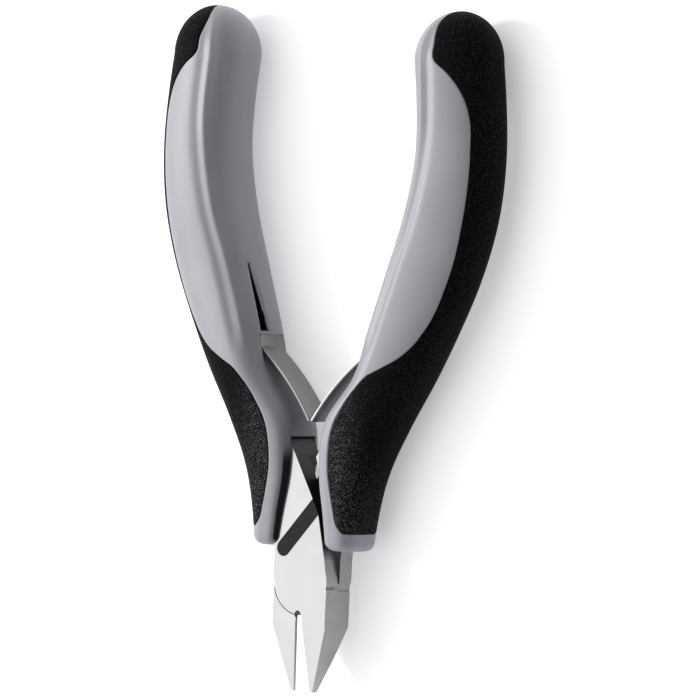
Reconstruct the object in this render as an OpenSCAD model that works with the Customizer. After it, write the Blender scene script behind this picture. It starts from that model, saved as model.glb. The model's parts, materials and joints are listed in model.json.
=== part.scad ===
// Pointed flush cutter for electronics work: two lapped steel levers on one
// bolt, two leaf springs that meet between the handles, and moulded grips of
// a hard body with a soft outer skin. It lies on its back, front face up, open
// and at rest, with the jaws towards -Y and the grips towards +Y.
// Plan sizes are measured from the pivot and then shifted to the part's frame.

/* [Levers] */
// Thickness of the head, both halves together
head_t = 6.5; // [6:0.1:7]
// Radius of each half's round lap face
joint_r = 5.6; // [5.4:0.1:5.8]
// Angle between the cutting edges when the tool is open, in degrees
open_deg = 10.7; // [9:0.1:11]
// Clearance between the two lap faces
lap_gap = 0.04; // [0.02:0.01:0.1]
// Clearance between a round lap face and the shoulder round it
shoulder_gap = 0.15; // [0.1:0.05:0.3]

/* [Jaws] */
// Distance from the pivot to the jaw tips
jaw_l = 18.6; // [17:0.1:20]
// Width of each jaw at its tip
tip_w = 0.5; // [0.3:0.1:0.8]
// Height of the front faces above the middle plane at the jaw tips
tip_z = 1.5; // [1.2:0.1:1.8]
// Depth of the flat land behind each cutting edge
land_t = 0.6; // [0.3:0.1:1]
// Width of the bevel behind each land for each millimetre of its depth
bevel_w = 0.8; // [0.6:0.05:1]
// Radius of the relief hole at the root of the cutting edges
relief_r = 0.55; // [0.4:0.05:0.7]

/* [Bolt] */
// Shank radius of the joint bolt
bolt_r = 2.5; // [2:0.1:2.8]
// Head radius of the joint bolt
bolt_head_r = 3.6; // [3.3:0.1:4]
// Head height of the joint bolt
bolt_head_t = 1.4; // [1:0.1:1.6]
// Radial running clearance of the bolt in the back lever
bolt_fit = 0.04; // [0.02:0.01:0.08]

/* [Springs] */
// Thickness of the leaf springs
leaf_t = 0.55; // [0.4:0.05:0.6]
// Width of the leaf springs
leaf_w = 5.3; // [4:0.1:5.6]
// Height of the bow in each free leaf
leaf_bow = 0.75; // [0.3:0.05:1.2]
// Length of leaf held inside each grip
tail_l = 11; // [8:0.5:12]
// Shank radius of the rivet through each leaf
rivet_r = 0.8; // [0.6:0.1:1]

/* [Grips] */
// Overall length of the tool
overall_l = 115; // [113:1:117]
// Length of the rounded end of each grip
dome_l = 8.4; // [7:0.1:9]
// Depth of the soft skin on the hard body
skin_t = 1.2; // [0.8:0.1:1.4]
// Distance of the flat backs of the grips below the middle plane
rest_z = 6.4; // [6:0.1:6.5]
// Clearance all round the soft skin in its recess
skin_gap = 0.03; // [0:0.01:0.1]

/* [Hidden] */
$fn = 96;

steel = [0.80, 0.80, 0.82];
spring_steel = [0.62, 0.62, 0.64];
hard_grey = [0.64, 0.64, 0.68];
soft_black = [0.12, 0.12, 0.13];

half_t = head_t / 2;
half_deg = open_deg / 2;
y_top = overall_l - jaw_l;
shift_y = (jaw_l - y_top) / 2;
eps = 0.01;

// Section of a grip at distances along Y: inner edge, outer edge, half
// thickness, and the angle that the skin spans to each side of straight out
stations = [
    [5.65, 5.3, 10.9, 4.6, 78],
    [11.0, 4.6, 11.6, 4.9, 88],
    [19.0, 3.6, 13.8, 5.4, 110],
    [27.0, 4.3, 17.9, 6.0, 110],
    [35.0, 9.2, 22.5, 6.5, 92],
    [43.0, 11.5, 26.9, 6.5, 43],
    [52.0, 14.4, 31.1, 6.5, 40],
    [62.0, 17.7, 34.0, 6.7, 42],
    [72.0, 19.7, 35.0, 6.65, 43],
    [82.0, 19.7, 34.6, 6.6, 50],
    [y_top - dome_l, 19.2, 34.2, 6.55, 81]
];
n_st = len(stations);
end_round = [[0.78, 0], [0.9, 0.25], [0.97, 0.7], [1, 1.4]];
dome_steps = 7;
crest = 0.38;
round_n = 2.3;
skin_from = 0.75;
ring_step = 1 / 3;
arc_pts = 12;

// Plan of the neck on the front lever, up to where the tang starts
neck_w = 5.8;
lap_edge = [[-4.35, 24.9], [3.1, 11.8], [4.9, 4], [joint_r, 0]];
tang_half_w = 2.4;
tang_from = 4.2;
tang_to = 8;
jaw_shoulder_y = 7.6;
taper_y = 6.8;

// Leaf springs, in the plan of the right handle
leaf_root = [11, 38.5];
leaf_foot = [leaf_t / 2 + 0.03, 27];
tail_deg = 70;
rivet_at = 6;
rivet_head_r = 1.3;
rivet_head_t = 0.6;
rivet_l = 3;
hinge_room = 0.35;
blade_deg = 214;
flex_deg = 12;
blade_room_l = 5;
seam_deg = 0.3;
leaf_pts = 20;
end_pts = 6;
slot_w = 1.5;
slot_l = 12;

bar_r = 1.4;
bar_from = [-3.9, 5.4];
bar_to = [3.6, 14];
bar_t = 0.2;

// ---- smooth curve through the stations ----
function cubic(a, b, c, d, t) = 0.5 * (2 * b + (c - a) * t
    + (2 * a - 5 * b + 4 * c - d) * t * t + (3 * b - a - 3 * c + d) * t * t * t);
function station(t) = let (i = min(floor(t), n_st - 2))
    cubic(stations[max(i - 1, 0)], stations[i], stations[i + 1],
          stations[min(i + 2, n_st - 1)], t - i);

// ---- rings of a grip: [station, size, dome angle] ----
lower_rings = [for (e = end_round) let (s = station(0)) [s + [e[1], 0, 0, 0, 0], e[0], 0]];
side_rings = [for (t = [ring_step : ring_step : n_st - 1 + eps]) [station(t), 1, 0]];
dome_rings = [for (k = [1 : dome_steps]) [stations[n_st - 1], cos(86 * k / dome_steps),
                                          86 * k / dome_steps]];

function power(v, p) = sign(v) * pow(abs(v), p);
function crest_x(s) = s[1] + crest * (s[2] - s[1]);

// A point of the section: angle 0 faces outwards and 90 faces the front.
// inset is the depth below the outer surface.
function section_point(ring, angle, inset) =
    let (s = ring[0], k = ring[1], xm = (s[1] + s[2]) / 2, xk = crest_x(s),
         w = (cos(angle) > 0 ? s[2] - xk : xk - s[1]) - inset,
         x = xm + k * (xk - xm + w * power(cos(angle), 2 / round_n)),
         z = k * (s[3] - inset) * power(sin(angle), 2 / round_n))
    [x, s[0] + (dome_l - inset) * sin(ring[2]), z];

function arc(ring, from, to, inset) =
    [for (j = [0 : arc_pts]) section_point(ring, from + (to - from) * j / arc_pts, inset)];
function flat(lists) = [for (l = lists) for (v = l) v];

// Rings of equal length joined into one closed skin, with a fan at each end
// when fan is true and a strip from arc to arc when it is false. A strip's
// second arc runs back, so its quads are split along the other diagonal.
module loft(rings, fan) {
    n = len(rings[0]);
    m = len(rings);
    ends = fan ? [mean(rings[0]), mean(rings[m - 1])] : [];
    sides = [for (i = [0 : m - 2]) for (j = [0 : n - 1]) let (a = i * n + j, b = i * n + (j + 1) % n)
        each fan || j < n / 2 ? [[a, a + n, b], [b, a + n, b + n]] : [[a, a + n, b + n], [a, b + n, b]]];
    fans = [for (j = [0 : n - 1]) each [[j, (j + 1) % n, m * n],
                                        [(m - 1) * n + (j + 1) % n, (m - 1) * n + j, m * n + 1]]];
    strips = [for (j = [0 : n / 2 - 2]) for (e = [0, (m - 1) * n])
        each e == 0 ? [[j, j + 1, n - 1 - j], [j + 1, n - 2 - j, n - 1 - j]]
                    : [[e + j + 1, e + j, e + n - 1 - j], [e + n - 2 - j, e + j + 1, e + n - 1 - j]]];
    polyhedron(concat(flat(rings), ends), concat(sides, fan ? fans : strips));
}
function mean(points) = [for (c = [0 : 2]) [for (p = points) 1] * [for (p = points) p[c]] / len(points)];

// ---- steel levers ----
function tang_x(s, side) = s[1] + 0.5 * (s[2] - s[1]) + side * tang_half_w;
tang_stations = [for (t = [tang_from : 0.4 : tang_to + eps]) station(t)];
neck_outer = [[-neck_w, 0], [-neck_w, 4], [-6.3, 10], [-8.2, 17], [-11, 24], [-14.6, 31]];
neck_inner = [[-12.2, 38], [-9.4, 32]];

// Neck and tang of the front lever, whose handle lies on the left
module neck_plan()
    polygon(concat(
        neck_outer,
        [for (s = tang_stations) [-tang_x(s, 1), s[0]]],
        [for (i = [len(tang_stations) - 1 : -1 : 0]) let (s = tang_stations[i]) [-tang_x(s, -1), s[0]]],
        neck_inner,
        lap_edge));

function edge_x(y) = y * tan(half_deg) + eps;
module jaw_plan()
    polygon([[edge_x(2), -2], [edge_x(jaw_l), -jaw_l], [edge_x(jaw_l) + tip_w, -jaw_l],
             [joint_r, -jaw_shoulder_y], [joint_r, -1], [0, -1]]);

// Room that the other lever's lap needs in this lever's far half
module lap_sweep()
    polygon([[-5.3, -2], [-5.3, 12], [-0.7, 25.3], [40, 25.3], [40, -2]]);

module lever_blank() {
    translate([0, 0, lap_gap / 2]) linear_extrude(half_t - lap_gap / 2) {
        neck_plan();
        circle(joint_r);
        jaw_plan();
    }
    translate([0, 0, -half_t]) linear_extrude(half_t + lap_gap / 2) {
        difference() {
            neck_plan();
            lap_sweep();
            translate([-20, -2]) square([20, 14]);
        }
        difference() {
            jaw_plan();
            circle(joint_r + shoulder_gap);
        }
    }
}

// What is ground away from the right jaw: both faces taper to the tip, the
// flat front face runs to the cutting edge, and a bevel falls away behind it
module jaw_cuts() {
    far = 30;
    fall = (half_t - tip_z) / (jaw_l - taper_y);
    depth = half_t + half_t;
    rotate([90, 0, 90]) translate([0, 0, -far / 2]) linear_extrude(far) {
        polygon([[-taper_y, half_t], [-jaw_l, tip_z], [-jaw_l - 1, tip_z - fall], [-jaw_l - 1, half_t + 1],
                 [-taper_y, half_t + 1]]);
        polygon([[-7.2, -half_t], [-jaw_l, -0.1], [-jaw_l - 1, 0.17], [-jaw_l - 1, -half_t - 1],
                 [-7.2, -half_t - 1]]);
    }
    multmatrix([[1, 0, 0, 0], [0, 1, 0, 0], [0, fall, 1, fall * taper_y], [0, 0, 0, 1]])
        rotate([0, 0, half_deg]) rotate([90, 0, 0]) translate([0, 0, joint_r + shoulder_gap])
            linear_extrude(far) translate([0, half_t - land_t])
                polygon([[-2, 0], [eps, 0], [bevel_w * depth, -depth], [-2, -depth]]);
    translate([0, -joint_r - 0.35, -half_t - 1]) cylinder(r = relief_r, h = head_t + 2);
}

module bar_plan()
    intersection() {
        union() {
            translate(bar_from) circle(bar_r);
            translate(bar_from) rotate(atan2(bar_to[1] - bar_from[1], bar_to[0] - bar_from[0]))
                translate([0, -bar_r]) square([norm(bar_to - bar_from), 2 * bar_r]);
        }
        neck_plan();
    }

module head_bar()
    color(soft_black) placed() translate([0, 0, half_t - bar_t]) linear_extrude(bar_t) bar_plan();

module front_lever()
    color(steel) placed() difference() {
        lever_blank();
        jaw_cuts();
        translate([0, 0, -half_t]) cylinder(r = bolt_r, h = head_t - 1);
        translate([0, 0, half_t - bar_t]) linear_extrude(bar_t + 1) bar_plan();
        on_left() rivet_shape();
    }

module back_lever()
    color(steel) placed() difference() {
        rotate([0, 180, 0]) lever_blank();
        on_left() jaw_cuts();
        translate([0, 0, -half_t - 1]) cylinder(r = bolt_r + bolt_fit, h = half_t + 1.5);
        translate([0, 0, -half_t - 1]) cylinder(r = bolt_head_r + bolt_fit, h = bolt_head_t + lap_gap + 1);
        rivet_shape();
    }

module joint_bolt()
    color(spring_steel) placed() difference() {
        union() {
            translate([0, 0, -half_t]) cylinder(r = bolt_head_r, h = bolt_head_t);
            translate([0, 0, -half_t]) cylinder(r = bolt_r, h = head_t - 1.05);
        }
        translate([-bolt_head_r - 1, -0.4, -half_t - 1]) cube([2 * bolt_head_r + 2, 0.8, 1.6]);
    }

// ---- leaf springs, drawn for the right handle ----
leaf_dir = leaf_root - leaf_foot;
leaf_chord = norm(leaf_dir);
leaf_r = leaf_chord * leaf_chord / (8 * leaf_bow) + leaf_bow / 2;
leaf_normal = [-leaf_dir[1], leaf_dir[0]] / leaf_chord;
leaf_centre = (leaf_root + leaf_foot) / 2 - leaf_normal * (leaf_r - leaf_bow);
root_ray = leaf_root - leaf_centre;
foot_ray = leaf_foot - leaf_centre;
root_deg = atan2(root_ray[1], root_ray[0]);
foot_deg = atan2(foot_ray[1], foot_ray[0]);

function polar(r, deg) = r * [cos(deg), sin(deg)];
function leaf_side(from, to, side) =
    [for (k = [0 : leaf_pts]) leaf_centre + polar(leaf_r + side * leaf_t / 2, from + (to - from) * k / leaf_pts)];
function round_end(at, from) = [for (k = [1 : end_pts - 1]) at + polar(leaf_t / 2, from + 180 * k / end_pts)];

// The free leaf: a bowed strip with round ends
module blade_shape()
    translate([0, 0, -leaf_w / 2]) linear_extrude(leaf_w)
        polygon(concat(leaf_side(root_deg, foot_deg, 1), round_end(leaf_foot, foot_deg),
                       leaf_side(foot_deg, root_deg, -1), round_end(leaf_root, root_deg + 180)));

// The tail runs up from the hinge line along the inner side of the tang
module along_tail() translate([leaf_root[0], leaf_root[1], 0]) rotate([0, 0, tail_deg]) children();
module tail_shape()
    along_tail() translate([leaf_t / 2 + 0.05, -leaf_t / 2, -leaf_w / 2]) cube([tail_l, leaf_t, leaf_w]);
module rivet_shape()
    along_tail() translate([rivet_at, leaf_t / 2, 0]) rotate([90, 0, 0]) {
        cylinder(r = rivet_r, h = leaf_t + rivet_l);
        translate([0, 0, -rivet_head_t]) cylinder(r = rivet_head_r, h = rivet_head_t);
    }
module right_spring_blade() color(spring_steel) placed() blade_shape();
module left_spring_blade() color(spring_steel) placed() on_left() blade_shape();
module right_spring_tail() color(spring_steel) placed() difference() { tail_shape(); rivet_shape(); }
module left_spring_tail() color(spring_steel) placed() on_left() difference() { tail_shape(); rivet_shape(); }
module right_spring_rivet() color(steel) placed() rivet_shape();
module left_spring_rivet() color(steel) placed() on_left() rivet_shape();

// ---- grips, drawn for the right handle ----
skin_rings = concat([[station(skin_from), 1, 0]], [for (r = side_rings) if (r[0][0] > station(skin_from)[0] + 1) r],
                    dome_rings);
function body_ring(r, inset) = let (a = r[0][4])
    concat(arc(r, -a, a, inset), arc(r, a, 360 - a, 0));
function skin_ring(r) = let (a = r[0][4] - seam_deg)
    concat(arc(r, -a, a, 0), arc(r, a, -a, skin_t - skin_gap));
body_rings = concat(
    [for (r = lower_rings) body_ring(r, 0)],
    [for (r = side_rings) if (r[0][0] < station(skin_from)[0] - 1) body_ring(r, 0)],
    [body_ring(skin_rings[0], 0)],
    [for (r = skin_rings) body_ring(r, skin_t)]);

// Below the plane that the backs of the grips rest on
module below_rest() translate([-overall_l, -overall_l, -rest_z - 10]) cube([2 * overall_l, 2 * overall_l, 10]);

// Room for the blade as it swings about its root
module blade_room() {
    h = leaf_w + 2 * hinge_room;
    r = leaf_t / 2 + hinge_room;
    translate([leaf_root[0], leaf_root[1], -h / 2]) {
        cylinder(r = r, h = h);
        for (deg = [blade_deg : flex_deg / 2 : blade_deg + flex_deg])
            rotate([0, 0, deg]) translate([0, -r, 0]) cube([blade_room_l, 2 * r, h]);
    }
}

module grip_body_shape()
    difference() {
        loft(body_rings, true);
        below_rest();
        on_left() translate([0, 0, -half_t]) linear_extrude(head_t) neck_plan();
        tail_shape();
        rivet_shape();
        blade_room();
        along_tail() translate([1, leaf_t / 2 - eps, -slot_w / 2]) cube([slot_l, 3, slot_w]);
    }

module grip_skin_shape()
    difference() {
        translate([0, skin_gap, 0]) loft([for (r = skin_rings) skin_ring(r)], false);
        below_rest();
    }

module right_grip_body() color(hard_grey) placed() grip_body_shape();
module left_grip_body() color(hard_grey) placed() on_left() grip_body_shape();
module right_grip_skin() color(soft_black) placed() grip_skin_shape();
module left_grip_skin() color(soft_black) placed() on_left() grip_skin_shape();

module on_left() mirror([1, 0, 0]) children();
module placed() translate([0, shift_y, rest_z]) children();

front_lever();
back_lever();
joint_bolt();
head_bar();
left_spring_tail();
right_spring_tail();
left_spring_blade();
right_spring_blade();
left_spring_rivet();
right_spring_rivet();
left_grip_body();
right_grip_body();
left_grip_skin();
right_grip_skin();
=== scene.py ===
# %% [markdown]
# # A pointed flush cutter, from its joint outwards
# The cutter is two lapped steel levers on one bolt. Two leaf springs meet between its handles, and each
# handle is a hard moulding with a soft skin over its outer side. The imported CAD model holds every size
# and joint. This lesson lays the visible surfaces over it: moulded grips, eased steel, one-piece springs,
# and a finish for each of them.

# %% Load the frame
import json
import math

import bmesh
import bpy
import numpy as np
from mathutils import Matrix

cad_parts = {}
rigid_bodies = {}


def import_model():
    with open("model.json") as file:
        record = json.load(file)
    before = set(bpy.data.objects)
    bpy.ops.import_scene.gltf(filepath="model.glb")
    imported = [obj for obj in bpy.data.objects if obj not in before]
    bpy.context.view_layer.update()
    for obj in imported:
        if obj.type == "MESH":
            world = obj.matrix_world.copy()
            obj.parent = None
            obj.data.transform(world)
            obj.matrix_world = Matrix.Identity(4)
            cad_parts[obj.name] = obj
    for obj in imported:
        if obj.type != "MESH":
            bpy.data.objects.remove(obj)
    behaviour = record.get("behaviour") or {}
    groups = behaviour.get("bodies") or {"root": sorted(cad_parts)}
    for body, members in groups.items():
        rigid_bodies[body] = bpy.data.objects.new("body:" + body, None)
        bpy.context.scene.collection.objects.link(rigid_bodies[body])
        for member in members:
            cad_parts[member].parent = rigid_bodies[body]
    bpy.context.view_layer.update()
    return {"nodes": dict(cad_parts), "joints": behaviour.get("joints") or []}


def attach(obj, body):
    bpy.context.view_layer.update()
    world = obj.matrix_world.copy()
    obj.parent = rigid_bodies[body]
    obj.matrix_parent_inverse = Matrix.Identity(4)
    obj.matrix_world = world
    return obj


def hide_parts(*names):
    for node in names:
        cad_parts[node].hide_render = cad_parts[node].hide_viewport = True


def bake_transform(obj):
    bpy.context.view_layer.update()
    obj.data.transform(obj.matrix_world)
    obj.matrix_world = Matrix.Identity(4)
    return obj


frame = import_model()
scene = bpy.context.scene

MM = 0.001
SHARP_DEG = 32
pivot = np.array(next(j["pos_m"] for j in frame["joints"] if j["name"] == "cutter_pivot"))
spring_root = np.array(next(j["pos_m"] for j in frame["joints"] if j["name"] == "right_spring_flex"))
root_mm = (spring_root - pivot) / MM
print("pivot in mm:", pivot / MM, "spring root from the pivot in mm:", root_mm)

# %% [markdown]
# ## Helpers for every new piece
# Each new piece is worked out in millimetres from the pivot, because a pair of pliers is drawn round its
# pivot. grid_faces lists the quads of a grid of points, anticlockwise seen from outside when rows run along
# the piece and columns run round it. make_piece puts points and faces into a mesh in its true place. through
# draws a smooth curve through a few values and step is a soft switch, so a size can change along a piece
# without a kink. Curve objects and modifiers could do the same, but arrays are shorter and always give the
# same mesh.


# %% Points and faces to a mesh object
def grid_faces(rows, cols):
    """Quads of a grid of points numbered row by row, whose last column joins its first."""
    r = np.arange(rows - 1)[:, None]
    c = np.arange(cols)[None, :]
    a = r * cols + c
    b = r * cols + (c + 1) % cols
    return np.stack([a, b, b + cols, a + cols], -1).reshape(-1, 4).tolist()


def make_piece(name, points, faces, sharp_deg=SHARP_DEG):
    """A mesh object from points in millimetres from the pivot; edges past sharp_deg stay crisp."""
    mesh = bpy.data.meshes.new(name)
    mesh.from_pydata((pivot + MM * np.asarray(points)).tolist(), [], faces)
    mesh.update()
    piece = bpy.data.objects.new(name, mesh)
    scene.collection.objects.link(piece)
    smooth(piece, sharp_deg)
    return piece


def smooth(piece, sharp_deg):
    """Smooth shading, with the edges that turn by more than sharp_deg kept sharp."""
    piece.data.polygons.foreach_set("use_smooth", np.ones(len(piece.data.polygons), bool))
    piece.data.set_sharp_from_angle(angle=math.radians(sharp_deg))


def through(knots, values, at):
    """A smooth curve through values at knots: cubic pieces that take the neighbours' slope at each knot."""
    knots = np.asarray(knots, float)
    values = np.asarray(values, float)
    slope = np.gradient(values, knots)
    i = np.clip(np.searchsorted(knots, at, side="right") - 1, 0, len(knots) - 2)
    width = knots[i + 1] - knots[i]
    t = np.clip((at - knots[i]) / width, 0, 1)
    return (values[i] * (1 + 2 * t) * (1 - t) ** 2 + values[i + 1] * t**2 * (3 - 2 * t)
            + width * (slope[i] * t * (1 - t) ** 2 - slope[i + 1] * t**2 * (1 - t)))


def step(low, high, value):
    """0 below low, 1 above high, and an S-shaped rise between."""
    t = np.clip((value - low) / (high - low), 0, 1)
    return t * t * (3 - 2 * t)


# %% [markdown]
# ## The section of a grip
# A grip is injection moulded, so it has no straight cut anywhere: every section is a rounded oblong that
# slides outwards and fattens along the handle. Each section is a superellipse, fuller on the inner side
# near the joint, where the moulding wraps round the steel as a square lip. A soft groove and a thin ridge
# run down the inner side of both faces, so the section is nudged up and down there. A cage of faces with
# subdivision could be pulled into this shape by hand. A formula is used because the body, its recess and
# the skin can then be taken from one surface, and fit each other exactly. Each list gives one size of the
# section at every place in GRIP_Y, in millimetres from the pivot.

# %% Sizes of the right grip along the handle
GRIP_Y = [5.65, 11, 19, 27, 35, 43, 52, 62, 72, 82, 88]
INNER_X = [5.3, 4.6, 3.3, 3.8, 9.2, 11.5, 14.4, 17.7, 19.7, 19.4, 18.5]
OUTER_X = [10.9, 11.6, 13.8, 17.9, 22.5, 26.9, 31.1, 34.0, 34.9, 34.3, 33.5]
HALF_T = [4.6, 4.9, 5.4, 6.0, 6.45, 6.5, 6.5, 6.65, 6.65, 6.6, 6.55]
CREST = [0.45, 0.45, 0.45, 0.42, 0.38, 0.36, 0.34, 0.33, 0.33, 0.33, 0.36]
INNER_FULLNESS = [4.5, 5.0, 4.6, 3.4, 2.4, 2.2, 2.15, 2.1, 2.1, 2.1, 2.1]
OUTER_FULLNESS = 2.35
RIDGE_Y = [36, 41, 52, 62, 75, 90]
RIDGE_X = [11.6, 13.1, 16.9, 20.6, 23.0, 22.2]
GROOVE_WAY = 1.5
RIDGE_HIGH = 0.16
RIDGE_WIDE = 0.42
GROOVE_DEEP = 0.3
GROOVE_WIDE = 0.85
DOME_L = 8.4
DOME_Y = GRIP_Y[-1]
print("thickest grip section:", max(np.subtract(OUTER_X, INNER_X)), "by", 2 * max(HALF_T), "mm")


def ridge_height(x, y):
    """A bell-shaped bump along the ridge line, less a wider bell GROOVE_WAY beside it, on its outer side."""
    along = step(37, 43, y) * (1 - step(86, 93, y))
    off = x - through(RIDGE_Y, RIDGE_X, y)
    ridge = RIDGE_HIGH * np.exp(-(off / RIDGE_WIDE) ** 2)
    groove = GROOVE_DEEP * np.exp(-((off - GROOVE_WAY) / GROOVE_WIDE) ** 2)
    return along * (ridge - groove)


# %% The section as a formula
def section(y, turn, angle, inset):
    """Superellipse of a grip at y. angle 0 faces out and 90 degrees faces the front. Each side has its own
    half-width and fullness, both shrink by inset, and turn carries the section round the end's dome."""
    inner, outer, half, crest, full = (
        through(GRIP_Y, v, y) for v in (INNER_X, OUTER_X, HALF_T, CREST, INNER_FULLNESS))
    peak = inner + crest * (outer - inner)
    middle = (inner + outer) / 2
    lift = np.cos(turn)
    c, s = np.cos(angle), np.sin(angle)
    power = np.where(c > 0, OUTER_FULLNESS, full)
    width = np.where(c > 0, outer - peak, peak - inner) - inset
    radius = (np.abs(c) ** power + np.abs(s) ** power) ** (-1 / power)
    x = peak + width * radius * c
    z = (half - inset) * radius * s
    z = z + np.sign(s) * ridge_height(x, y) * step(0.3, 0.7, np.abs(s)) * step(0.5, 0.95, lift)
    return np.stack([middle + lift * (x - middle), y + (DOME_L - inset) * np.sin(turn), lift * z], -1)


# %% [markdown]
# ## Where the soft skin ends
# The skin is moulded over the body in a second shot, and it meets the hard plastic in a crisp parting
# line. It covers most of the lower grip, draws back to the outer side in the palm, and swells again over
# the rounded end. One curve says how far round the section it reaches, in degrees to each side.

# %% The parting line and the rows of the grid
EDGE_Y = [8.7, 9.7, 12.3, 16, 19, 23, 29, 33, 35, 36.6, 38.3, 40.5,
          43, 52, 62, 73, 79, 82, 84.3, 86.2, 87.8, 91, 96.4]
EDGE_DEG = [64, 79, 93, 104, 110, 112, 110, 105, 94, 77, 61, 50,
            44, 40, 42, 43, 44.5, 50, 58, 68, 80, 84, 95]
SKIN_FROM = EDGE_Y[0]
ROW_GAP = 0.42
side_y = np.arange(SKIN_FROM, DOME_Y, ROW_GAP)
dome_turn = np.radians(np.linspace(0, 89.6, 27))
row_y = np.concatenate([side_y, np.full(len(dome_turn), DOME_Y)])
row_turn = np.concatenate([np.zeros(len(side_y)), dome_turn])
row_edge = np.radians(through(EDGE_Y, EDGE_DEG, row_y + DOME_L * np.sin(row_turn)))
widest = math.degrees(row_edge.max())
print("rows along the skin:", len(row_y), "and the widest wrap:", round(widest, 1), "degrees")

# %% [markdown]
# ## The hard body
# The body is one closed surface. Its columns are laid out so that one of them always runs exactly along
# the parting line: between the two edges of the skin they sink into a shallow recess, and past them they
# carry the visible plastic, with a small round at the rim. The lower end has no skin, so the recess fades
# out there, and the section curls in over a rounded edge to a flat end.

# %% The body's rows and columns
RECESS = 0.9
END_ROUND = 1.5
RIM_DEG = [0, 0.5, 1.2, 2.2]
RIM_DEPTH = [0.22, 0.07, 0.015, 0]


def body_rows(y, turn, edge, recess, inset):
    """Closed rings: columns across the recess, round its rims, and over the plastic between them."""
    y, turn, edge, recess, inset = (np.asarray(v, float)[:, None] for v in (y, turn, edge, recess, inset))
    rim = np.radians(RIM_DEG)[None, :]
    across = np.linspace(-1, 1, 31)[None, :]
    around = np.linspace(0, 1, 105)[None, 1:-1]
    first = edge + rim[:, -1:]
    angle = np.concatenate([across * (edge - rim[:, 1:2]), edge + rim, first + around * 2 * (np.pi - first),
                            2 * np.pi - edge - rim[:, ::-1]], 1)
    share = np.concatenate([0 * across + 1, [RIM_DEPTH], 0 * around, [RIM_DEPTH[::-1]]], 1)
    return section(y + 0 * angle, turn + 0 * angle, angle, inset + recess * share)


curl = np.radians(np.linspace(0, 90, 9))
bare_y = np.arange(7.5, SKIN_FROM - 0.1, ROW_GAP)
end_y = np.concatenate([GRIP_Y[0] + END_ROUND * (1 - np.cos(curl)), bare_y])
end_inset = np.concatenate([END_ROUND * (1 - np.sin(curl)), np.zeros(len(end_y) - len(curl))])
lip_y = SKIN_FROM + np.array([-0.08, -0.02, 0.02])
lip_recess = [0, 0.25 * RECESS, RECESS]
n_end = len(end_y) + len(lip_y)
n_rest = len(row_y) - 1
rows_y = np.concatenate([end_y, lip_y, row_y[1:]])
rows_turn = np.concatenate([np.zeros(n_end), row_turn[1:]])
rows_edge = np.concatenate([np.full(n_end, row_edge[0]), row_edge[1:]])
rows_inset = np.concatenate([end_inset, np.zeros(len(lip_y) + n_rest)])
rows_recess = np.concatenate([np.zeros(len(end_y)), lip_recess, np.full(n_rest, RECESS)])
rings = body_rows(rows_y, rows_turn, rows_edge, rows_recess, rows_inset)
n_rows, n_cols = rings.shape[:2]
foot = rings[0].mean(0)
tip = rings[-1].mean(0) + [0, 0.01, 0]
last = (n_rows - 1) * n_cols
column = np.arange(n_cols)
fans = np.concatenate([
    np.stack([column, (column + 1) % n_cols, 0 * column + n_rows * n_cols], -1)[:, ::-1],
    np.stack([last + (column + 1) % n_cols, last + column, 0 * column + n_rows * n_cols + 1], -1)[:, ::-1]])
body_points = np.concatenate([rings.reshape(-1, 3), [foot, tip]])
body_faces = grid_faces(n_rows, n_cols) + fans.tolist()
print("body grid:", n_rows, "rows by", n_cols, "columns")

# %% [markdown]
# ## Cutting the pockets
# Four things are cut from the right-hand body. The neck of the lever lies in a deep pocket, so that only
# thin lips of plastic reach over the steel. The leaf spring leaves through a window that gives it room to
# swing, and that is open at the back of the tool. Above the window a scoop tapers away up the handle, steep
# in front and sloping behind, and a narrow slot runs into the moulding along the scoop's front edge. Each
# cutter is a prism between two outlines, and an exact boolean takes it away.


# %% Prisms and the boolean
def prism(name, low, high):
    """A closed solid between two outlines with the same number of points, wound the same way."""
    n = len(low)
    around = np.arange(n)
    sides = np.stack([around, (around + 1) % n, n + (around + 1) % n, n + around], -1).tolist()
    ends = [around[::-1].tolist(), (n + around).tolist()]
    piece = make_piece(name, np.concatenate([low, high]), sides + ends)
    recalculate(piece.data)
    return piece


def recalculate(mesh):
    """Turns every face outwards."""
    work = bmesh.new()
    work.from_mesh(mesh)
    bmesh.ops.recalc_face_normals(work, faces=work.faces)
    work.to_mesh(mesh)
    work.free()


def plan_prism(name, outline, low_z, high_z):
    """A prism that stands on a plan outline, from low_z to high_z."""
    outline = np.asarray(outline, float)
    flat = np.ones((len(outline), 1))
    return prism(name, np.hstack([outline, low_z * flat]), np.hstack([outline, high_z * flat]))


def cut(piece, *cutters):
    """Takes the cutters away from the piece for good, and removes them."""
    for cutter in cutters:
        modifier = piece.modifiers.new("cut", "BOOLEAN")
        modifier.object = cutter
        modifier.solver = "EXACT"
    settle(piece)
    for cutter in cutters:
        bpy.data.objects.remove(cutter)


def settle(piece):
    """Makes what the piece's modifiers give its own mesh."""
    graph = bpy.context.evaluated_depsgraph_get()
    mesh = bpy.data.meshes.new_from_object(piece.evaluated_get(graph))
    piece.modifiers.clear()
    piece.data = mesh


# %% Cut the right body
NECK_HALF = 3.31
NECK_POCKET = [[-3, -1], [5.7, -1], [5.7, 4], [6.2, 10], [8.1, 17], [10.2, 22], [10.2, 24.2], [-3, 24.2]]
WINDOW = [[12.45, 41.0], [11.65, 38.35], [7.7, 32.3], [3, 32.3], [3, 41.0]]
WINDOW_BACK = -9
WINDOW_FRONT = 2.95
SCOOP_FRONT = 2.6
SLOT_LOW = {"y": 41.5, "wall_x": 11.1, "depth": 4.0, "width": 1.9}
SLOT_HIGH = {"y": 52.8, "wall_x": 14.75, "depth": 2.6, "width": 0.4}


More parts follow.
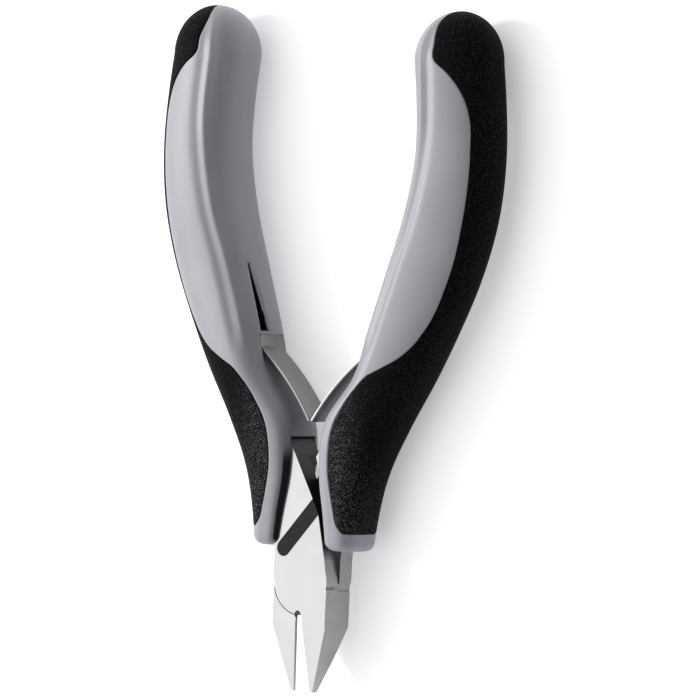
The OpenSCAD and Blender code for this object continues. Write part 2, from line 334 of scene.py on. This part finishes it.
def scoop_outline(y, wall_x, depth, back_z):
    """A triangle across the handle: steep in front, and a floor that rises to the wall at back_z."""
    fall = (SCOOP_FRONT - back_z) / depth
    return np.array([[wall_x - 1, y, SCOOP_FRONT + 0.1], [wall_x + depth, y, SCOOP_FRONT],
                     [wall_x - 1, y, back_z - fall]])


def slot_outline(y, wall_x, depth, width):
    """A rectangle across the handle, width high in z and depth deep, just behind the scoop's front."""
    top = SCOOP_FRONT + 0.05
    return np.array([[wall_x - 1, y, top], [wall_x + depth, y, top], [wall_x + depth, y, top - width],
                     [wall_x - 1, y, top - width]])


right_body = make_piece("right_grip_hard", body_points, body_faces)
cut(right_body,
    plan_prism("neck_cutter", NECK_POCKET, -NECK_HALF, NECK_HALF),
    plan_prism("window_cutter", WINDOW, WINDOW_BACK, WINDOW_FRONT),
    prism("scoop_cutter", scoop_outline(y=41.6, wall_x=11.1, depth=1.0, back_z=0.3),
          scoop_outline(y=53.0, wall_x=14.8, depth=0.5, back_z=1.6)),
    prism("slot_cutter", slot_outline(**SLOT_LOW), slot_outline(**SLOT_HIGH)))
smooth(right_body, SHARP_DEG)
print("right body:", len(right_body.data.vertices), "points after cutting")

# %% [markdown]
# ## The soft skin
# The skin is a shell of its own: an outer face that lies flush with the body, an inner face that rests in
# the recess, and a rim between them that rounds down to the parting line with a hair of space. A Solidify
# modifier could thicken a single sheet, but it can't round the rim, so one ring of columns runs out over
# the outer face and back under the inner one.

# %% The skin's rows and columns
SKIN_INNER = 0.86
SKIN_RIM_DEG = [0.35, 0.5, 0.9, 1.6, 2.6]
SKIN_RIM_DEPTH = [0.45, 0.16, 0.05, 0.0, -0.02]


def skin_rows(y, turn, edge, drop):
    """Closed rings out over the skin and back under it. drop lowers the outer face, at the lower end."""
    y, turn, edge, drop = (np.asarray(v, float)[:, None] for v in (y, turn, edge, drop))
    rim = np.radians(SKIN_RIM_DEG)[None, :]
    across = np.linspace(-1, 1, 61)[None, 1:-1]
    under = np.linspace(1, -1, 25)[None, :]
    reach = edge - rim[:, -1:]
    angle = np.concatenate([-(edge - rim), across * reach, (edge - rim)[:, ::-1],
                            under * (edge - rim[:, :1])], 1)
    depth = np.concatenate([[SKIN_RIM_DEPTH], 0 * across + SKIN_RIM_DEPTH[-1], [SKIN_RIM_DEPTH[::-1]],
                            0 * under + SKIN_INNER], 1)
    outer = np.arange(depth.shape[1]) < depth.shape[1] - under.shape[1]
    depth = np.where(outer, np.maximum(depth, drop), depth + 0 * drop)
    return section(y + 0 * angle, turn + 0 * angle, angle, depth)


low_y = SKIN_FROM + np.array([0.04, 0.06, 0.12, 0.22])
low_drop = [0.45, 0.14, 0.04, 0.0]
NO_DROP = -1.0
skin_y = np.concatenate([low_y, row_y[1:]])
skin_turn = np.concatenate([np.zeros(len(low_y)), row_turn[1:]])
skin_edge = np.concatenate([np.full(len(low_y), row_edge[0]), row_edge[1:]])
skin_drop = np.concatenate([low_drop, np.full(n_rest, NO_DROP)])
skin_rings = skin_rows(skin_y, skin_turn, skin_edge, skin_drop)
s_rows, s_cols = skin_rings.shape[:2]
caps = [list(range(s_cols))[::-1], [(s_rows - 1) * s_cols + i for i in range(s_cols)]]
skin_faces = grid_faces(s_rows, s_cols) + caps
right_skin = make_piece("right_grip_soft", skin_rings.reshape(-1, 3), skin_faces, sharp_deg=40)
recalculate(right_skin.data)
recalculate(right_body.data)
print("skin grid:", s_rows, "rows by", s_cols, "columns")

# %% [markdown]
# ## The left grip
# The left grip is the same moulding turned over, so its mesh is the right one mirrored across the middle.
# A negative scale would leave the object scaled, and a finished piece has its place in its mesh, so the
# points themselves are mirrored. That turns the faces inside out, so each one is flipped back.


# %% Mirror a mesh across the middle
def mirrored(piece, name):
    """A copy with every x negated and every face wound the other way."""
    copy = piece.copy()
    copy.data = piece.data.copy()
    copy.name = name
    copy.data.name = name
    scene.collection.objects.link(copy)
    points = np.empty(len(copy.data.vertices) * 3)
    copy.data.vertices.foreach_get("co", points)
    points = points.reshape(-1, 3)
    points[:, 0] = 2 * pivot[0] - points[:, 0]
    copy.data.vertices.foreach_set("co", points.ravel())
    copy.data.flip_normals()
    copy.data.update()
    return copy


left_body = mirrored(right_body, "left_grip_hard")
left_skin = mirrored(right_skin, "left_grip_soft")
for piece in (left_body, right_body, left_skin, right_skin):
    side = piece.name.split("_")[0]
    kind = "body" if "hard" in piece.name else "skin"
    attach(piece, side + "_handle")
    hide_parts(side + "_grip_" + kind)
print("left grip:", len(left_body.data.vertices) + len(left_skin.data.vertices), "points")

# %% [markdown]
# ## The leaf springs
# Each spring is one strip of spring steel. Its tail is held in the grip, and its blade bows down to meet
# the other one in the middle. A rounded rectangle carried along that line gives the strip, and setting
# it square to the line keeps the thickness true in the bend. A real spring bends in use, but each piece
# keeps the place it is drawn in here, and the CAD spring parts are hidden.

# %% The strip and its bend
LEAF_T = 0.55
LEAF_W = 5.3
LEAF_ROUND = 0.13
LEAF_BOW = 0.75
TAIL_L = 3.4
TAIL_DEG = 85
TAIL_BEND = 1.6
BLEND_END = 0.6
foot_mm = np.array([LEAF_T / 2 + 0.03, 27.0])


def leaf_line():
    """The tail, which turns over TAIL_BEND from the blade's slope to TAIL_DEG, and then the blade. The
    blade is its chord plus a parabola LEAF_BOW high. The tail is a running sum of short steps."""
    t = np.linspace(0, 1, 60)[:, None]
    chord = foot_mm - root_mm[:2]
    bow = np.array([chord[1], -chord[0]]) / np.linalg.norm(chord)
    blade = root_mm[:2] + t * chord + 4 * LEAF_BOW * t * (1 - t) * bow
    gap = 0.1
    first = np.degrees(np.arctan2(blade[0, 1] - blade[1, 1], blade[0, 0] - blade[1, 0]))
    run = np.arange(gap, TAIL_L, gap)
    turn = np.radians(first + (TAIL_DEG - first) * step(0, TAIL_BEND, run))
    tail = root_mm[:2] + gap * np.cumsum(np.stack([np.cos(turn), np.sin(turn)], -1), 0)
    return np.concatenate([tail[::-1], blade])


# %% The strip's profile, and how it is carried along
def strip_profile():
    """A rounded rectangle, thickness by width, as points anticlockwise."""
    corner = np.radians(np.linspace(0, 90, 4))
    quarters = [(1, 1, 0), (-1, 1, 90), (-1, -1, 180), (1, -1, 270)]
    return np.concatenate([np.stack([
        sx * (LEAF_T / 2 - LEAF_ROUND) + LEAF_ROUND * np.cos(corner + math.radians(a)),
        sz * (LEAF_W / 2 - LEAF_ROUND) + LEAF_ROUND * np.sin(corner + math.radians(a))], -1)
        for sx, sz, a in quarters])


def swept(line, profile):
    """Profile points set across a plan line: the first coordinate along its normal, the second along z."""
    along = np.gradient(line, axis=0)
    along /= np.linalg.norm(along, axis=1)[:, None]
    normal = np.stack([along[:, 1], -along[:, 0]], -1)
    plan = line[:, None, :] + profile[None, :, :1] * normal[:, None, :]
    return np.concatenate([plan, np.broadcast_to(profile[None, :, 1:], plan.shape[:2] + (1,))], -1)


# %% Both springs
strip = swept(leaf_line(), strip_profile())
l_rows, l_cols = strip.shape[:2]
ends = [list(range(l_cols)), [(l_rows - 1) * l_cols + i for i in range(l_cols)][::-1]]
leaf_faces = grid_faces(l_rows, l_cols) + ends
right_leaf = make_piece("right_leaf", strip.reshape(-1, 3), leaf_faces, sharp_deg=50)
recalculate(right_leaf.data)
left_leaf = mirrored(right_leaf, "left_leaf")
blend_to = (1 - BLEND_END) * root_mm[:2] + BLEND_END * foot_mm
for piece, side, way in ((left_leaf, "left", -1), (right_leaf, "right", 1)):
    start = pivot + MM * np.array([way * root_mm[0], root_mm[1], 0])
    stop = pivot + MM * np.array([way * blend_to[0], blend_to[1], 0])
    side + "_handle"
    side + "_spring"
    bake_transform(piece)
    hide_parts(side + "_spring_blade", side + "_spring_tail")
print("leaf from", root_mm[:2], "to", foot_mm, "mm")

# %% [markdown]
# ## Steel parts with eased edges
# The forged levers are ground and polished, and no ground edge is truly sharp. The CAD nodes have the
# right shape, so each one is copied, its loose triangles are merged, flat areas are joined into single
# faces, and a small bevel eases the edges so that they catch the light. Flat-ground faces meet at slight
# angles too, so only turns under EASED_SHARP_DEG are shaded smooth.


# %% Ease the edges of a CAD node
EASED_SHARP_DEG = 6
BEVEL_FROM_DEG = 25
BEVEL_SEGMENTS = 2


def eased(node, width_mm):
    """A copy of a CAD node with merged points, whole flat faces and bevelled edges."""
    source = frame["nodes"][node]
    work = bmesh.new()
    work.from_mesh(source.data)
    bmesh.ops.remove_doubles(work, verts=work.verts, dist=2e-6)
    bmesh.ops.recalc_face_normals(work, faces=work.faces)
    bmesh.ops.dissolve_limit(work, angle_limit=math.radians(0.5), verts=work.verts, edges=work.edges)
    mesh = bpy.data.meshes.new(node + "_eased")
    work.to_mesh(mesh)
    work.free()
    piece = bpy.data.objects.new(node + "_eased", mesh)
    scene.collection.objects.link(piece)
    bevel = piece.modifiers.new("eased edges", "BEVEL")
    bevel.width = width_mm * MM
    bevel.segments = BEVEL_SEGMENTS
    bevel.limit_method = "ANGLE"
    bevel.angle_limit = math.radians(BEVEL_FROM_DEG)
    bevel.use_clamp_overlap = True
    settle(piece)
    smooth(piece, EASED_SHARP_DEG)
    print(node, "eased:", len(piece.data.vertices), "points")
    return piece


steel_parts = [("front_lever", "left_handle", 0.1, "polished_steel"),
               ("back_lever", "right_handle", 0.1, "polished_steel"),
               ("joint_bolt", "left_handle", 0.12, "bolt_steel")]
steel = {}
for node, rides_on, width, slot in steel_parts:
    piece = eased(node, width)
    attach(piece, rides_on)
    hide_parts(node)
    steel[node] = piece

# %% [markdown]
# ## Shader arithmetic
# A procedural finish is a small sum: noise, rings and masks added and scaled. Wrapping a socket in a class
# with operators lets that sum be written as one, and each operator adds one Math node. Every other node
# comes from one method.


# %% A socket with operators
class Value:
    """A node's output that takes part in Python arithmetic."""

    def __init__(self, finish, socket):
        self.finish = finish
        self.socket = socket

    def maths(self, operation, *others):
        """One Math node on this value and the others."""
        return self.finish.add("ShaderNodeMath", {"operation": operation}, [self, *others])

    def __add__(self, other):
        return self.maths("ADD", other)

    def __mul__(self, other):
        return self.maths("MULTIPLY", other)

    def __sub__(self, other):
        return self.maths("SUBTRACT", other)

    def __rsub__(self, other):
        return self.finish.add("ShaderNodeMath", {"operation": "SUBTRACT"}, [other, self])

    def __abs__(self):
        return self.maths("ABSOLUTE")

    __radd__ = __add__
    __rmul__ = __mul__

    def between(self, low, high):
        """0 below low, 1 above high, smooth between."""
        values = {"Value": self, "From Min": low, "From Max": high}
        return self.finish.add("ShaderNodeMapRange", {"interpolation_type": "SMOOTHSTEP"}, values)


# %% A finish
class Finish:
    """A material with one Principled shader and a short way to add nodes."""

    def __init__(self, name, **constants):
        """The constants are set on the shader's own sockets."""
        self.material = bpy.data.materials.new(name)
        self.material.use_nodes = True
        self.tree = self.material.node_tree
        self.shader = self.tree.nodes["Principled BSDF"]
        for socket, value in constants.items():
            self.shader.inputs[socket.replace("_", " ")].default_value = value
        self.place = self.add("ShaderNodeTexCoord", out="Object")

    def axis(self, vector, letter):
        """One coordinate of a vector."""
        return self.add("ShaderNodeSeparateXYZ", values=[vector], out=letter)

    def from_pivot(self, letter):
        """One coordinate in millimetres from the pivot."""
        return self.axis(self.place, letter) * (1 / MM) - pivot["XYZ".index(letter)] / MM

    def facing(self, letter):
        """One coordinate of the direction that the surface faces."""
        return self.axis(self.add("ShaderNodeNewGeometry", out="Normal"), letter)

    def distance_in_plan(self, point):
        """Distance from a point in metres, measured across the joint's axis."""
        away = self.add("ShaderNodeVectorMath", {"operation": "SUBTRACT"}, [self.place, tuple(point)])
        flat = self.add("ShaderNodeVectorMath", {"operation": "MULTIPLY"}, [away, (1, 1, 0)])
        return self.add("ShaderNodeVectorMath", {"operation": "LENGTH"}, [flat], out="Value")

    def add(self, kind, settings=None, values=None, out=0):
        """A node of that type, with its settings, its input values or links, and one output."""
        node = self.tree.nodes.new(kind)
        for key, value in (settings or {}).items():
            setattr(node, key, value)
        pairs = values.items() if isinstance(values, dict) else enumerate(values or [])
        for key, value in pairs:
            if isinstance(value, Value):
                self.tree.links.new(value.socket, node.inputs[key])
            else:
                node.inputs[key].default_value = value
        return Value(self, node.outputs[out])

    def noise(self, size_mm, detail=2.0, stretch=(1, 1, 1), rough=0.5):
        """Noise from 0 to 1 whose lumps are about size_mm across, drawn out along an axis by stretch."""
        scale = tuple(1 / s for s in stretch)
        place = self.add("ShaderNodeMapping", values={"Vector": self.place, "Scale": scale})
        values = {"Vector": place, "Scale": 1 / (size_mm * MM), "Detail": detail, "Roughness": rough}
        return self.add("ShaderNodeTexNoise", values=values)

    def mix(self, factor, a, b):
        """A colour between a and b."""
        node = self.tree.nodes.new("ShaderNodeMix")
        node.data_type = "RGBA"
        for key, value in ((0, factor), (6, a), (7, b)):
            if isinstance(value, Value):
                self.tree.links.new(value.socket, node.inputs[key])
            else:
                node.inputs[key].default_value = value if key == 0 else (*value, 1)
        return Value(self, node.outputs[2])

    def feed(self, socket, value):
        """Links a value to one of the shader's sockets."""
        self.tree.links.new(value.socket, self.shader.inputs[socket])

    def bump(self, height, depth_mm):
        """Relief on the shader's normal, depth_mm deep where the height goes from 1 to 0."""
        self.feed("Normal", self.add("ShaderNodeBump", values={"Distance": depth_mm * MM, "Height": height}))


# %% Put a finish on pieces
def dress(finish, *pieces):
    """Gives the pieces one material and no other."""
    for piece in pieces:
        piece.data.materials.clear()
        piece.data.materials.append(finish.material)
    print(finish.material.name, "has", len(finish.tree.nodes), "nodes, on", [piece.name for piece in pieces])


# %% [markdown]
# ## Hard grey plastic
# The hard body is a glass-filled plastic in a cool mid grey, satin rather than shiny. The mould was
# lightly blasted, which leaves a fine even grain. Handling polishes some patches a little, so the
# roughness drifts slowly over the surface. Two places are painted near black as painted shade: the lower
# inner flank that turns to the other handle, in the shade between the handles, and the inside of the
# narrow slot. Each has a mask from the place on the grip, in millimetres from the pivot, and the flank's
# mask also asks which way the surface faces.

# %% The grey finish
grey = Finish("hard_grey_plastic", Roughness=0.42, IOR=1.47)
drift = grey.noise(9, 3)
grain = grey.noise(0.22, 3, rough=0.6)
tone = grey.mix(drift.between(0.25, 0.75), (0.262, 0.265, 0.295), (0.292, 0.295, 0.325))
side_x = grey.axis(grey.place, "X").maths("SIGN")
turned_in = grey.facing("X") * side_x * -1
up_y = grey.from_pivot("Y")
# painted shade: the lower inner flank that faces the other handle is painted near black, for the shade
# between the handles
flank_painted_shade = turned_in.between(0.74, 0.84) * (1 - up_y.between(20, 23)) * up_y.between(5.4, 6.4)
out_x = abs(grey.from_pivot("X"))
front_z = grey.from_pivot("Z")
wall_slope = (SLOT_HIGH["wall_x"] - SLOT_LOW["wall_x"]) / (SLOT_HIGH["y"] - SLOT_LOW["y"])
slot_depth = out_x - SLOT_LOW["wall_x"] - (up_y - SLOT_LOW["y"]) * wall_slope
# painted shade: the inside of the narrow slot is painted near black, for the shade that falls in it
slot_painted_shade = slot_depth.between(0.25, 0.55) * (1 - slot_depth.between(4.4, 5)) * up_y.between(41.2, 41.45)
slot_painted_shade = slot_painted_shade * front_z.between(0.4, 0.7) * (1 - front_z.between(2.7, 2.8)) * (1 - up_y.between(53, 54))
shade = grey.mix(flank_painted_shade, tone, (0.012, 0.012, 0.016))
grey.feed("Base Color", grey.mix(slot_painted_shade, shade, (0.003, 0.003, 0.004)))
grey.feed("Roughness", 0.36 + 0.12 * drift + 0.06 * grain)
grey.bump(grain, 0.012)
dress(grey, left_body, right_body)

# %% [markdown]
# ## Soft black skin
# The skin is a rubbery elastomer cast against a spark-eroded mould. Its surface is a fine crowd of pits
# and grains, and their tops wear paler, so the grain goes into the relief and into the colour. The specks
# are painted palest near the middle of the tool as painted light, where the lamp catches the skin, and
# fade towards the outer sides as painted shade.

# %% The black finish
black = Finish("soft_black_elastomer", Roughness=0.55, IOR=1.5, Specular_IOR_Level=0.03)
coarse = black.noise(0.2, 2, rough=0.55)
fine = black.noise(0.1, 2)
specks = (0.6 * coarse + 0.4 * fine).between(0.51, 0.63)
# painted light: the specks are painted palest near the middle of the tool, where the lamp catches the skin,
# and fade to painted shade on the outer sides
painted_light_mid = 1 - abs(black.from_pivot("X")).between(7, 15)
specks_and_painted_light = specks * (0.14 + 0.86 * painted_light_mid)
black.feed("Base Color", black.mix(specks_and_painted_light, (0.0005, 0.0005, 0.0006), (0.2, 0.204, 0.204)))
black.feed("Roughness", 0.62 - 0.18 * specks)
black.bump(specks + 0.3 * fine, 0.06)
dress(black, left_skin, right_skin)

# %% [markdown]
# ## The levers' steel
# The faces of the head are polished bright. The narrow side faces are only ground, so they look darker
# and carry fine lines along the tool. Above the joint everything but the front face is painted near black
# as painted shade, for the shade that the neck lies in between the grips, and the small relief hole
# between the jaws is painted black as a painted shadow. The painted shade has no mirror, so the same mask
# that darkens it takes its metal away.

# %% Polished and ground steel, with painted shade
RELIEF_AT = np.array([-0.25, -5.55, 0])
lever = Finish("polished_tool_steel", Metallic=1.0)
polished = abs(lever.facing("Z")).between(0.45, 0.8)
smear = lever.noise(3.5, 3)
lines = lever.noise(0.07, 2, stretch=(1, 40, 1))
dull = lever.mix(smear, (0.27, 0.27, 0.275), (0.34, 0.335, 0.34))
bright = lever.mix(smear, (0.52, 0.525, 0.525), (0.58, 0.58, 0.58))
from_hole = lever.distance_in_plan(pivot + RELIEF_AT * MM) * (1 / MM)
not_front = 1 - polished * lever.from_pivot("Z").between(2.8, 3.1)
# painted shade: above the joint every face but the front one is painted near black, for the shade the neck
# lies in between the grips
lever_painted_shade = not_front * lever.from_pivot("Y").between(5.5, 8.5)
# painted shadow: a black spot where the relief hole between the jaws lies in shadow
lever_painted_shade = lever_painted_shade.maths("MAXIMUM", 1 - from_hole.between(0.6, 0.72))
ground = lever.mix(polished, dull, bright)
lever.feed("Base Color", lever.mix(lever_painted_shade, ground, (0.012, 0.012, 0.013)))
# the painted shade also takes the metal away, so it shows no reflection
lever.feed("Metallic", 1 - lever_painted_shade)
lever.feed("Roughness", (1 - polished) * (0.3 + 0.12 * lines) + polished * (0.11 + 0.05 * smear))
lever.bump(lines * (1 - 0.9 * polished), 0.004)
dress(lever, steel["front_lever"], steel["back_lever"])

# %% [markdown]
# ## The small steel parts
# The springs are cold-rolled strip with a fine even grain. The bolt head was turned, so its lines are
# rings about the joint's own axis: the sine of the distance from it. The rivets are blacked with oxide, a
# thin patchy coat that hides half of the metal.

# %% Spring strip, bolt and rivets
strip_steel = Finish("rolled_spring_steel", Metallic=1.0)
rolled = strip_steel.noise(0.06, 2)
tint = strip_steel.noise(5, 2)
strip_steel.feed("Base Color", strip_steel.mix(tint, (0.17, 0.174, 0.172), (0.22, 0.222, 0.22)))
strip_steel.feed("Roughness", 0.28 + 0.12 * rolled)
strip_steel.bump(rolled, 0.003)
dress(strip_steel, left_leaf, right_leaf)

RING_GAP = 0.16
turned = Finish("turned_bolt_steel", Metallic=1.0)
rings_wave = (turned.distance_in_plan(pivot) * (2 * math.pi / (RING_GAP * MM))).maths("SINE")
turned.feed("Base Color", turned.mix(turned.noise(1.5, 3), (0.5, 0.5, 0.51), (0.6, 0.6, 0.6)))
turned.feed("Roughness", 0.26 + 0.04 * rings_wave)
turned.bump(rings_wave, 0.004)
dress(turned, steel["joint_bolt"])

oxide = Finish("black_oxide_rivet", Metallic=0.5)
blotch = oxide.noise(0.8, 3)
oxide.feed("Base Color", oxide.mix(blotch, (0.006, 0.006, 0.007), (0.018, 0.018, 0.02)))
oxide.feed("Roughness", 0.4 + 0.2 * blotch)
oxide.bump(blotch, 0.01)
dress(oxide, frame["nodes"]["left_spring_rivet"], frame["nodes"]["right_spring_rivet"])

# %% [markdown]
# ## The enamelled bar
# A shallow bar is etched across the front face and filled with dark enamel. It is left plain here. The
# fill has sunk a little and has tiny pinholes, so it has its own uneven sheen.

# %% The enamel
enamel = Finish("dark_enamel_fill", Roughness=0.3, IOR=1.5, Specular_IOR_Level=0.12)
pores = enamel.noise(0.18, 2).between(0.6, 0.75)
enamel.feed("Base Color", enamel.mix(pores, (0.006, 0.006, 0.007), (0.05, 0.05, 0.05)))
enamel.feed("Roughness", 0.28 + 0.25 * pores)
enamel.bump(pores, 0.02)
dress(enamel, frame["nodes"]["head_bar"])

# %% [markdown]
# ## Floor, light and camera
# The tool lies on plain white paper. A small soft light from the left shapes the grips and throws a soft
# shadow to the right. A pale surround fills the rest, dimmer on the right so that the inner walls keep
# their depth. The paper glows a little, which keeps its shadows pale. The camera looks from the tool's
# right through a long lens, raised a touch towards the grip ends and rolled a little.

# %% The paper floor
floor_mesh = bpy.data.meshes.new("floor")
REACH = 2.5
corners = [(-REACH, -REACH, 0), (REACH, -REACH, 0), (REACH, REACH, 0), (-REACH, REACH, 0)]
floor_mesh.from_pydata(corners, [], [(0, 1, 2, 3)])
floor = bpy.data.objects.new("floor", floor_mesh)
scene.collection.objects.link(floor)
paper = Finish("white_paper", Roughness=0.9, Emission_Color=(0.99, 1, 1, 1), Emission_Strength=0.38)
paper.feed("Base Color", paper.mix(paper.noise(60, 2), (0.86, 0.865, 0.86), (0.88, 0.88, 0.88)))
dress(paper, floor)

# %% Surround and key light
world = bpy.data.worlds.new("surround")
scene.world = world
world.use_nodes = True
sky = world.node_tree
background = sky.nodes["Background"]
background.inputs["Strength"].default_value = 1.4
way = sky.nodes.new("ShaderNodeTexCoord")
split = sky.nodes.new("ShaderNodeSeparateXYZ")
ramp = sky.nodes.new("ShaderNodeValToRGB")
leftness = sky.nodes.new("ShaderNodeMath")
leftness.operation = "MULTIPLY_ADD"
leftness.inputs[1].default_value = -0.5
leftness.inputs[2].default_value = 0.5
dim, pale = ramp.color_ramp.elements
dim.position = 0.2
dim.color = (0.03, 0.032, 0.036, 1)
pale.position = 0.62
pale.color = (1, 1, 1, 1)
sky.links.new(way.outputs["Generated"], split.inputs[0])
sky.links.new(split.outputs["X"], leftness.inputs[0])
sky.links.new(leftness.outputs[0], ramp.inputs[0])
sky.links.new(ramp.outputs["Color"], background.inputs["Color"])

# %% The key light
AIM = (0.00574, 0.00036)
KEY_SIZE = 0.2
KEY_WATTS = 8.0
KEY_FROM = 1.2 * np.array([-0.8, 0.12, 0.59])
target = np.array([*AIM, pivot[2]])


def set_axes(obj, x, y, z, place):
    """Puts an object at place with these local axes."""
    turn = np.eye(4)
    turn[:3] = np.stack([x, y, z, place], -1)
    obj.matrix_world = Matrix(turn.tolist())


def point_at(obj, place, aim):
    """Puts a light at place with its beam towards aim."""
    z = np.asarray(place, float) - aim
    z /= np.linalg.norm(z)
    x = np.cross([0, 1, 0], z)
    x /= np.linalg.norm(x)
    y = np.cross(z, x)
    set_axes(obj, x, y, z, place)


key = bpy.data.lights.new("key", "AREA")
key.shape = "RECTANGLE"
key.size = KEY_SIZE
key.size_y = KEY_SIZE
key.energy = KEY_WATTS
key_light = bpy.data.objects.new("key", key)
scene.collection.objects.link(key_light)
point_at(key_light, target + KEY_FROM, target)
print("key light at", np.round(target + KEY_FROM, 3))

# %% Camera
VIEW_DEG = 38.0
RISE_DEG = 1.7
ROLL_DEG = 2.7
DISTANCE = 1.0
FOCAL = 8.53
SENSOR = 36
theta, rise, roll = (math.radians(v) for v in (VIEW_DEG, RISE_DEG, ROLL_DEG))
right = np.array([math.cos(theta), 0, -math.sin(theta)])
back = np.array([math.sin(theta) * math.cos(rise), math.sin(rise), math.cos(theta) * math.cos(rise)])
up = np.cross(back, right)
cam = bpy.data.cameras.new("camera")
cam.sensor_width = SENSOR
cam.lens = SENSOR * FOCAL
cam.clip_start = 0.05
camera = bpy.data.objects.new("camera", cam)
scene.collection.objects.link(camera)
set_axes(camera, math.cos(roll) * right + math.sin(roll) * up, -math.sin(roll) * right + math.cos(roll) * up,
         back, target + DISTANCE * back)
scene.camera = camera
scene.view_settings.view_transform = "Standard"
print("camera at", np.round(target + DISTANCE * back, 3), "with a", round(cam.lens), "mm lens")
